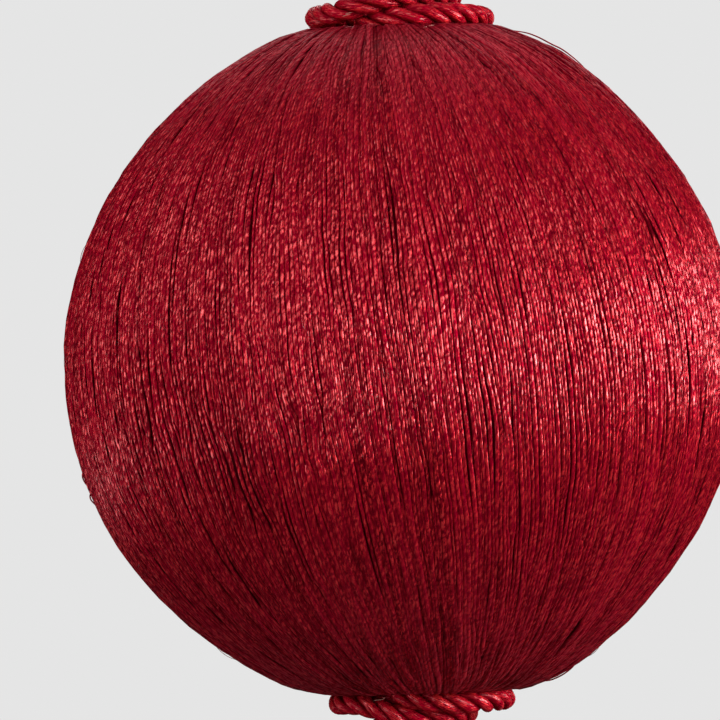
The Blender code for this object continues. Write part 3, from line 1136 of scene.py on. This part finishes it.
@dataclass
class Hairs:
    """Single silk fibres that stand a little off the ball, all round it."""

    ball: WoundBall
    count: int = 170
    segments: int = 8
    half_width: float = 0.030 * MM
    length: tuple[float, float] = (1.5 * MM, 5.0 * MM)
    stands_off: tuple[float, float] = (0.05 * MM, 0.38 * MM)
    lean: float = 0.45  # of its length, at most, across the threads
    settled: float = 0.08  # keeps the middle of a bent fibre near its place
    blunt: float = 1.05  # over 1, so that its ends keep some width
    height_share: float = 0.9
    profile_points: int = 361
    sides: tuple[float, ...] = (0.0, 90.0, 180.0, 270.0)
    seed: int = 41

    def build(self, effects: Effects) -> bpy.types.Object:
        """Lay the fibres and dress them.

        Args:
            effects: The shared shader groups.

        Returns:
            All of them, in one piece.
        """
        rng = np.random.default_rng(self.seed)
        outline = self.ball.profile(self.profile_points)
        radius, height = outline.T
        number = np.arange(self.profile_points)
        step = length_of(outline) / (self.profile_points - 1)
        each = (self.count, 1)
        along = np.linspace(-0.5, 0.5, self.segments + 1)[None, :]
        length = rng.uniform(*self.length, each)
        level = rng.uniform(-self.height_share, self.height_share, each) * self.ball.radius
        place = np.clip(np.interp(level, -height, number) + along * length / step, 0, number[-1])
        lean = rng.uniform(-self.lean, self.lean, each)
        bend = rng.uniform(-self.lean, self.lean, each)
        across = (lean * along + bend * (along ** 2 - self.settled)) * length
        angle = rng.uniform(0.0, math.tau, each) + across / self.ball.radius
        surface = self.ball.surface(np.interp(place, number, radius), np.interp(place, number, height), angle)
        outward = unit(surface)
        off = rng.uniform(*self.stands_off, each) * (1 - (2 * along) ** 2)
        thin = np.sqrt(self.blunt - (2 * along) ** 2)
        lines = Lines.of_round(surface + outward * off[..., None], outward, self.half_width * thin)
        sheaf = Sheaf("ball_hairs", self.count, self.segments, self.sides, LOOSE_SILK, self.seed)
        return dress(sheaf.lay(lines), LOOSE_SILK, effects)


STRAY_THREADS = Strays("stray_threads", WOUND_SILK, 0.085 * MM, seed=31, runs=(
    rows_of(
        StrayStop,
        (10.9, -0.5, 34.05), (12.1, 0.0, 33.85), (13.2, 0.0, 33.61), (14.4, 0.0, 33.10), (15.6, 0.0, 32.41),
        (16.6, 0.0, 31.89), (17.5, 0.0, 31.21), (18.5, 0.0, 30.32), (19.3, 0.0, 29.45),
    ),
    rows_of(
        StrayStop,
        (12.0, -0.5, -33.45), (13.2, 0.0, -33.45), (14.2, 0.0, -33.12), (15.1, 0.0, -32.62),
        (15.9, 0.0, -31.95), (16.5, 0.0, -31.0),
    ),
    rows_of(
        StrayStop,
        (-32.6, -0.5, -8.9), (-33.8, 0.0, -9.8), (-34.35, 0.0, -10.6), (-34.0, 0.0, -11.6),
        (-33.0, -0.4, -12.4),
    ),
    rows_of(StrayStop, (-32.3, -0.5, -11.6), (-33.3, 0.0, -12.2), (-33.6, 0.0, -13.1), (-32.6, 0.0, -14.3)),
))
UNDYED_ENDS = Strays("undyed_ends", UNDYED_SILK, 0.045 * MM, seed=32, runs=(
    rows_of(StrayStop, (1.7, -10.3, 34.00), (2.3, -10.6, 34.10), (2.9, -10.6, 34.28), (3.5, -10.4, 34.36)),
    rows_of(StrayStop, (-5.9, -8.3, 35.62), (-5.5, -8.7, 35.74), (-5.1, -8.9, 35.80)),
    rows_of(StrayStop, (-5.6, -8.4, 35.89), (-5.2, -8.8, 35.94), (-4.9, -8.9, 36.00)),
    rows_of(
        StrayStop,
        (-5.0, -8.4, -34.64), (-4.6, -9.0, -34.54), (-4.1, -9.1, -34.49), (-3.8, -8.8, -34.34),
    ),
    rows_of(StrayStop, (0.3, -9.7, -33.64), (1.3, -10.0, -33.59), (2.3, -9.9, -33.72)),
    rows_of(StrayStop, (2.6, -9.7, -33.54), (3.5, -9.7, -33.49), (4.4, -9.3, -33.59)),
    rows_of(StrayStop, (1.9, -9.8, -33.39), (2.2, -10.0, -33.54), (2.4, -10.0, -33.84)),
))


# ---------------------------------------------------------------------------------------------
# Rope
# ---------------------------------------------------------------------------------------------


@dataclass
class Rope:
    """Strands of silk laid round each other along a route."""

    name: str
    route: np.ndarray  # close points on its middle line
    seed: int
    strands: int = 3
    strand_radius: float = 0.575 * MM
    laid_at: float = 0.645 * MM  # from the rope's middle to a strand's middle
    lead: float = 6.6 * MM
    handed: Handed = Handed.RIGHT
    steps_per_lead: int = 20
    yarns: int = 18  # that show round a strand
    ridge: float = 0.09
    flatten: float = 0.96
    square_to: tuple[float, float, float] = (0.0, 0.6, 0.8)  # the first side of the route is square to it
    unlay: Waver = Waver(0.10, 1, 9)  # radians
    swell: Waver = Waver(0.04, 1, 12)  # of a strand's radius

    def frames(self, points: np.ndarray) -> tuple[np.ndarray, np.ndarray]:
        """Carry two square directions along the route, turned no more than it turns.

        Args:
            points: Evenly spaced points of the route.

        Returns:
            The two directions at each point.
        """
        travel = unit(np.gradient(points, axis=0))
        side = np.cross(self.square_to, travel[0])
        sides = []
        for direction in travel:
            side = unit(side - direction * side.dot(direction))
            sides.append(side)
        return np.array(sides), np.cross(travel, sides)

    def build(self, effects: Effects) -> bpy.types.Object:
        """Lay the strands and dress them.

        Args:
            effects: The shared shader groups.

        Returns:
            The rope, all its strands in one piece.
        """
        rng = np.random.default_rng(self.seed)
        leads = length_of(self.route) / self.lead
        segments = round(leads * self.steps_per_lead)
        points = spaced_evenly(self.route, segments + 1)
        side, up = self.frames(points)
        start = math.tau * np.arange(self.strands)[:, None] / self.strands
        turn = start + self.handed.value * math.tau * np.linspace(0.0, leads, segments + 1)[None, :]
        turn = turn + stray(rng, turn.shape, self.unlay)
        crown = side * np.cos(turn)[..., None] + up * np.sin(turn)[..., None]
        radius = self.strand_radius * (1 + stray(rng, turn.shape, self.swell))
        turns = tuple(180.0 * number / self.yarns for number in range(2 * self.yarns))
        sheaf = Sheaf(self.name, self.strands, segments, turns, ROPE_SILK, self.seed, ridge=self.ridge)
        lines = Lines(points + crown * self.laid_at, crown, radius, radius * self.flatten,
                      np.ones(radius.shape))
        return dress(sheaf.lay(lines), ROPE_SILK, effects)


@dataclass
class Collar:
    """A rope wound round one pole of the ball, its start tucked in under the turn that climbs away."""

    pole: Pole
    stops: tuple[RopeStop, ...]
    seed: int

    def route(self) -> np.ndarray:
        """Draw the rope's middle line.

        Returns:
            Close points on it.
        """
        angle, radius, height = smooth_through(np.array(self.stops, float)).T
        turn = np.radians(angle)
        return np.column_stack([radius * np.sin(turn), -radius * np.cos(turn), height]) * MM

    def build(self, effects: Effects) -> bpy.types.Object:
        """Wind the collar in the place of its plain solid, and dress it.

        Args:
            effects: The shared shader groups.

        Returns:
            The piece.
        """
        name = f"{self.pole.value}_collar"
        rope = Rope(f"{name}_rope", self.route(), self.seed).build(effects)
        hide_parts(name)
        return rope


TOP_COLLAR = Collar(Pole.TOP, seed=21, stops=rows_of(
    RopeStop,
    (-38, 6.80, 34.95), (-18, 7.30, 35.00), (2, 8.15, 35.38), (28, 8.65, 35.65), (90, 8.65, 35.27),
    (180, 8.65, 35.50), (270, 8.65, 35.85), (302, 8.75, 36.02), (322, 8.65, 36.40), (342, 8.00, 37.08),
    (362, 7.00, 37.62), (380, 6.45, 37.55), (400, 5.90, 37.55), (450, 5.30, 37.50), (540, 5.10, 37.80),
    (630, 4.80, 38.50), (720, 4.15, 39.70), (790, 4.10, 40.30), (860, 4.10, 40.80),
))
BOTTOM_COLLAR = Collar(Pole.BOTTOM, seed=22, stops=rows_of(
    RopeStop,
    (-28, 6.30, -33.95), (-15, 7.20, -34.20), (5, 8.15, -34.80), (30, 8.55, -35.10), (90, 8.55, -35.10),
    (180, 8.55, -35.10), (270, 8.50, -35.10), (298, 8.40, -34.98), (314, 8.10, -35.20), (330, 7.50, -35.90),
    (345, 6.80, -36.40), (365, 6.10, -36.40), (400, 5.50, -36.25), (450, 4.60, -36.50), (540, 4.50, -37.10),
    (630, 4.50, -38.10), (720, 4.50, -39.60), (770, 4.50, -40.00),
))


@dataclass
class HangingLoop:
    """The rope loop that the tassel hangs from, both legs down the middle of the top collar."""

    leg: tuple[LoopStop, ...] = rows_of(
        LoopStop, (1.40, 32.5), (1.40, 40.0), (1.60, 45.0), (2.90, 57.0), (4.60, 70.0), (6.30, 82.0),
    )
    arc_radius: float = 6.8
    arc_height: float = 87.0
    arc_points: int = 9
    path_points: int = 80
    diameter: float = 2.44 * MM
    seed: int = 23

    def route(self) -> np.ndarray:
        """Draw the middle line, up the left leg, over, and down the right one.

        Returns:
            Close points on it.
        """
        left = np.array([(-stop.half_width, 0.0, stop.height) for stop in self.leg])
        turns = np.linspace(math.pi, 0.0, self.arc_points)
        arc = np.column_stack([np.cos(turns), np.zeros(self.arc_points), np.sin(turns)]) * self.arc_radius
        arc += (0.0, 0.0, self.arc_height)
        right = left[::-1] * (-1.0, 1.0, 1.0)
        return smooth_through(np.vstack([left, arc, right])) * MM

    def build(self, effects: Effects) -> bpy.types.Object:
        """Args:
            effects: The shared shader groups.

        Returns:
            The piece.
        """
        route = self.route()
        rope = Rope("hanging_loop_rope", route, self.seed).build(effects)
        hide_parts("hanging_loop")
        return rope


# ---------------------------------------------------------------------------------------------
# The skirt
# ---------------------------------------------------------------------------------------------


@dataclass
class Skirt:
    """Loose silk that comes down through the bottom collar and hangs."""

    threads: int = 920
    outer_from: float = 0.72  # share of the skirt's radius from which threads show
    outer_mesh: tuple[int, int] = (30, 6)  # segments and sides of a thread that shows
    inner_mesh: tuple[int, int] = (14, 5)
    uneven_tips: float = 1.2 * MM
    half_width: float = 0.33 * MM
    root_width: float = 0.45  # of the whole width
    widens: tuple[float, float] = (0.0, 0.22)  # shares of its length between which it gains that width
    freed: tuple[float, float] = (0.05, 0.5)  # shares of its length between which it comes free to curl
    curl: Waver = Waver(0.35 * MM, 1, 5)
    twist: Waver = Waver(0.06, 1, 4)  # radians
    bends: tuple[tuple[float, ...], ...] = (  # shares of the stations, and of the length they have come
        (0.0, 0.05, 0.33, 1.0), (0.0, 0.058, 0.145, 1.0),
    )
    close_points: int = 801
    seed: int = 31
    outline: tuple[RingStop, ...] = rows_of(
        RingStop,
        (2.9, -33.5), (2.9, -37.5), (2.9, -41.3), (3.8, -42.2), (5.6, -43.8), (7.4, -46.2), (8.4, -48.8),
        (9.7, -54.0), (11.8, -66.0), (13.8, -84.0), (15.3, -106.0), (16.1, -132.0), (16.3, -160.0),
    )

    def lines(self, share: np.ndarray, angle: np.ndarray, segments: int, rng: np.random.Generator) -> Lines:
        """Hang threads from the collar.

        Args:
            share: How far out each thread hangs, as a share of the skirt's radius.
            angle: Its angle round the tassel.
            segments: How many straight parts a thread has.
            rng: The seeded source of chance.

        Returns:
            Where the threads run.
        """
        shape = (len(share), segments + 1)
        drop = np.interp(np.linspace(0.0, 1.0, segments + 1), *self.bends)
        outline = spaced_evenly(smooth_through(np.array(self.outline)) * MM, self.close_points)
        along = np.linspace(0.0, 1.0, self.close_points)
        radius, height = (np.interp(drop, along, column) for column in outline.T)
        tips = rng.uniform(-self.uneven_tips, self.uneven_tips, (len(share), 1)) * drop ** 2
        free = ease(*self.freed, drop)
        reach = np.maximum(radius[None, :] - self.half_width, 0.0) * share[:, None]
        reach = reach + free * stray(rng, shape, self.curl)
        turn = angle[:, None] + free * stray(rng, shape, self.twist)
        outward = np.stack([np.sin(turn), -np.cos(turn), np.zeros(shape)], axis=-1)
        middle = outward * reach[..., None]
        middle[..., 2] = height[None, :] + tips
        thin = self.root_width + (1 - self.root_width) * ease(*self.widens, drop)
        return Lines.of_round(middle, outward, self.half_width * thin)

    def build(self, effects: Effects) -> list[bpy.types.Object]:
        """Make the outer threads finely and the inner ones plainly.

        Args:
            effects: The shared shader groups.

        Returns:
            The two pieces.
        """
        rng = np.random.default_rng(self.seed)
        number = np.arange(self.threads)
        golden = math.pi * (3 - math.sqrt(5))
        share = np.sqrt((number + 0.5) / self.threads)
        pieces = []
        for name, chosen, (segments, sides) in (
            ("skirt_outer_threads", share >= self.outer_from, self.outer_mesh),
            ("skirt_inner_threads", share < self.outer_from, self.inner_mesh),
        ):
            lines = self.lines(share[chosen], number[chosen] * golden, segments, rng)
            turns = tuple(360.0 * side / sides for side in range(sides))
            sheaf = Sheaf(name, int(chosen.sum()), segments, turns, LOOSE_SILK, self.seed)
            pieces.append(dress(sheaf.lay(lines), LOOSE_SILK, effects))
        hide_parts("skirt")
        return pieces


# ---------------------------------------------------------------------------------------------
# The studio
# ---------------------------------------------------------------------------------------------


@dataclass(frozen=True)
class Softbox:
    """An area light that faces the ball."""

    name: str
    azimuth: float  # degrees from the front to the right
    elevation: float
    power: float
    distance: float = 1.2
    width: float = 1.0
    height: float = 0.8

    def build(self) -> None:
        """Hang the light, out of the camera's sight."""
        turn, rise = math.radians(self.azimuth), math.radians(self.elevation)
        away = Vector((math.sin(turn) * math.cos(rise), -math.cos(turn) * math.cos(rise), math.sin(rise)))
        data = bpy.data.lights.new(self.name, "AREA")
        data.shape = "RECTANGLE"
        data.size, data.size_y = self.width, self.height
        data.energy = self.power
        light = put(self.name, data)
        light.location = Vector(BALL_MIDDLE) + away * self.distance
        light.rotation_euler = (-away).to_track_quat("-Z", "Y").to_euler()
        light.visible_camera = False


@dataclass
class Studio:
    """The camera, the lights and the pale paper under and behind the tassel."""

    picture: float = 720.0  # the frame's side, in its own pixels
    ball_pixels: float = 676.0  # across the ball
    ball_size: float = 70.0 * MM
    ball_at: tuple[float, float] = (42.5, 2.0)  # right of and below the frame's middle, in pixels
    roll: float = 1.85  # degrees
    distance: float = 0.9
    sensor: float = 36.0
    nearest: float = 0.01
    floor_height: float = -0.60
    floor_radius: float = 8.0
    floor_sides: int = 64
    world: float = 0.01
    boxes: tuple[Softbox, ...] = (
        Softbox("key_front_softbox", 40.0, 5.0, power=2.8, distance=0.85, width=0.45, height=0.45),
        Softbox("key_softbox", 65.0, 4.0, power=4.2, distance=0.85, width=0.45, height=0.45),
        Softbox("key_back_softbox", 95.0, 2.0, power=5.0, distance=0.85, width=0.45, height=0.45),
        Softbox("fill_softbox", -58.0, 4.0, power=6.6, distance=1.0, width=1.3, height=1.0),
        Softbox("front_softbox", 0.0, 34.0, power=7.2, distance=1.5, width=1.4, height=0.9),
        Softbox("upper_right_softbox", 50.0, 40.0, power=1.5, distance=1.3),
        Softbox("upper_left_softbox", -70.0, 50.0, power=4.2),
        Softbox("upper_back_softbox", 180.0, 62.0, power=3.2, width=1.2, height=1.0),
        Softbox("low_back_softbox", 180.0, -45.0, power=2.3, width=1.2, height=1.0),
        Softbox("low_left_softbox", -110.0, -30.0, power=4.2),
        Softbox("back_softbox", 175.0, 15.0, power=4.4, height=0.9),
    )

    def aim_camera(self) -> None:
        """Set the camera level with the ball, and roll it a little."""
        scale = self.ball_pixels / self.ball_size
        data = bpy.data.cameras.new("camera")
        data.sensor_width = self.sensor
        data.lens = self.sensor / (self.picture / scale) * self.distance
        data.clip_start = self.nearest
        turn = Matrix.Rotation(math.radians(90), 4, "X") @ Matrix.Rotation(math.radians(-self.roll), 4, "Z")
        right, up = turn.col[0].to_3d(), turn.col[1].to_3d()
        ball = Vector(BALL_MIDDLE) + Vector((WoundBall.offset, 0.0, 0.0))
        aside, below = self.ball_at
        place = ball - right * (aside / scale) + up * (below / scale) + Vector((0.0, -self.distance, 0.0))
        camera = put("camera", data)
        camera.matrix_world = Matrix.Translation(place) @ turn
        bpy.context.scene.camera = camera

    def lay_floor(self) -> None:
        """Lay the round of pale paper far below the tassel."""
        bm = bmesh.new()
        bmesh.ops.create_circle(bm, cap_ends=True, segments=self.floor_sides, radius=self.floor_radius)
        bmesh.ops.translate(bm, verts=bm.verts, vec=(0.0, 0.0, self.floor_height))
        mesh = mesh_of(bm, "floor_paper")
        mesh.materials.append(PAPER.material())
        floor = put("floor_paper", mesh)

    def light_world(self) -> None:
        """Fill the room with soft light, as pale as the paper where the camera sees it."""
        world = bpy.data.worlds.new("studio")
        graph = Graph.of(world)
        ray = graph.add("LightPath").outputs["Is Camera Ray"]
        level = graph.scale(ray, self.world, PAPER.seen)
        back = graph.add("Background", {"Color": (1.0, 1.0, 1.0, 1.0), "Strength": level})
        graph.add("OutputWorld", {"Surface": back.outputs[0]})
        bpy.context.scene.world = world

    def build(self) -> None:
        """Set up everything that isn't the tassel."""
        self.aim_camera()
        self.lay_floor()
        self.light_world()
        for box in self.boxes:
            box.build()
        bpy.context.scene.view_settings.view_transform = "Standard"


def main() -> None:
    """Dress the tassel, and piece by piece."""
    logging.basicConfig(level=logging.INFO, format="%(name)s: %(message)s")
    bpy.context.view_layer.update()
    effects = Effects()
    Studio().build()
    HangingLoop().build(effects)
    TOP_COLLAR.build(effects)
    BOTTOM_COLLAR.build(effects)
    ball = WoundBall()
    ball.build(effects)
    Hairs(ball).build(effects)
    STRAY_THREADS.build(effects)
    UNDYED_ENDS.build(effects)
    Skirt().build(effects)
    log.info("the tassel is dressed")


if __name__ == "__main__":
    main()
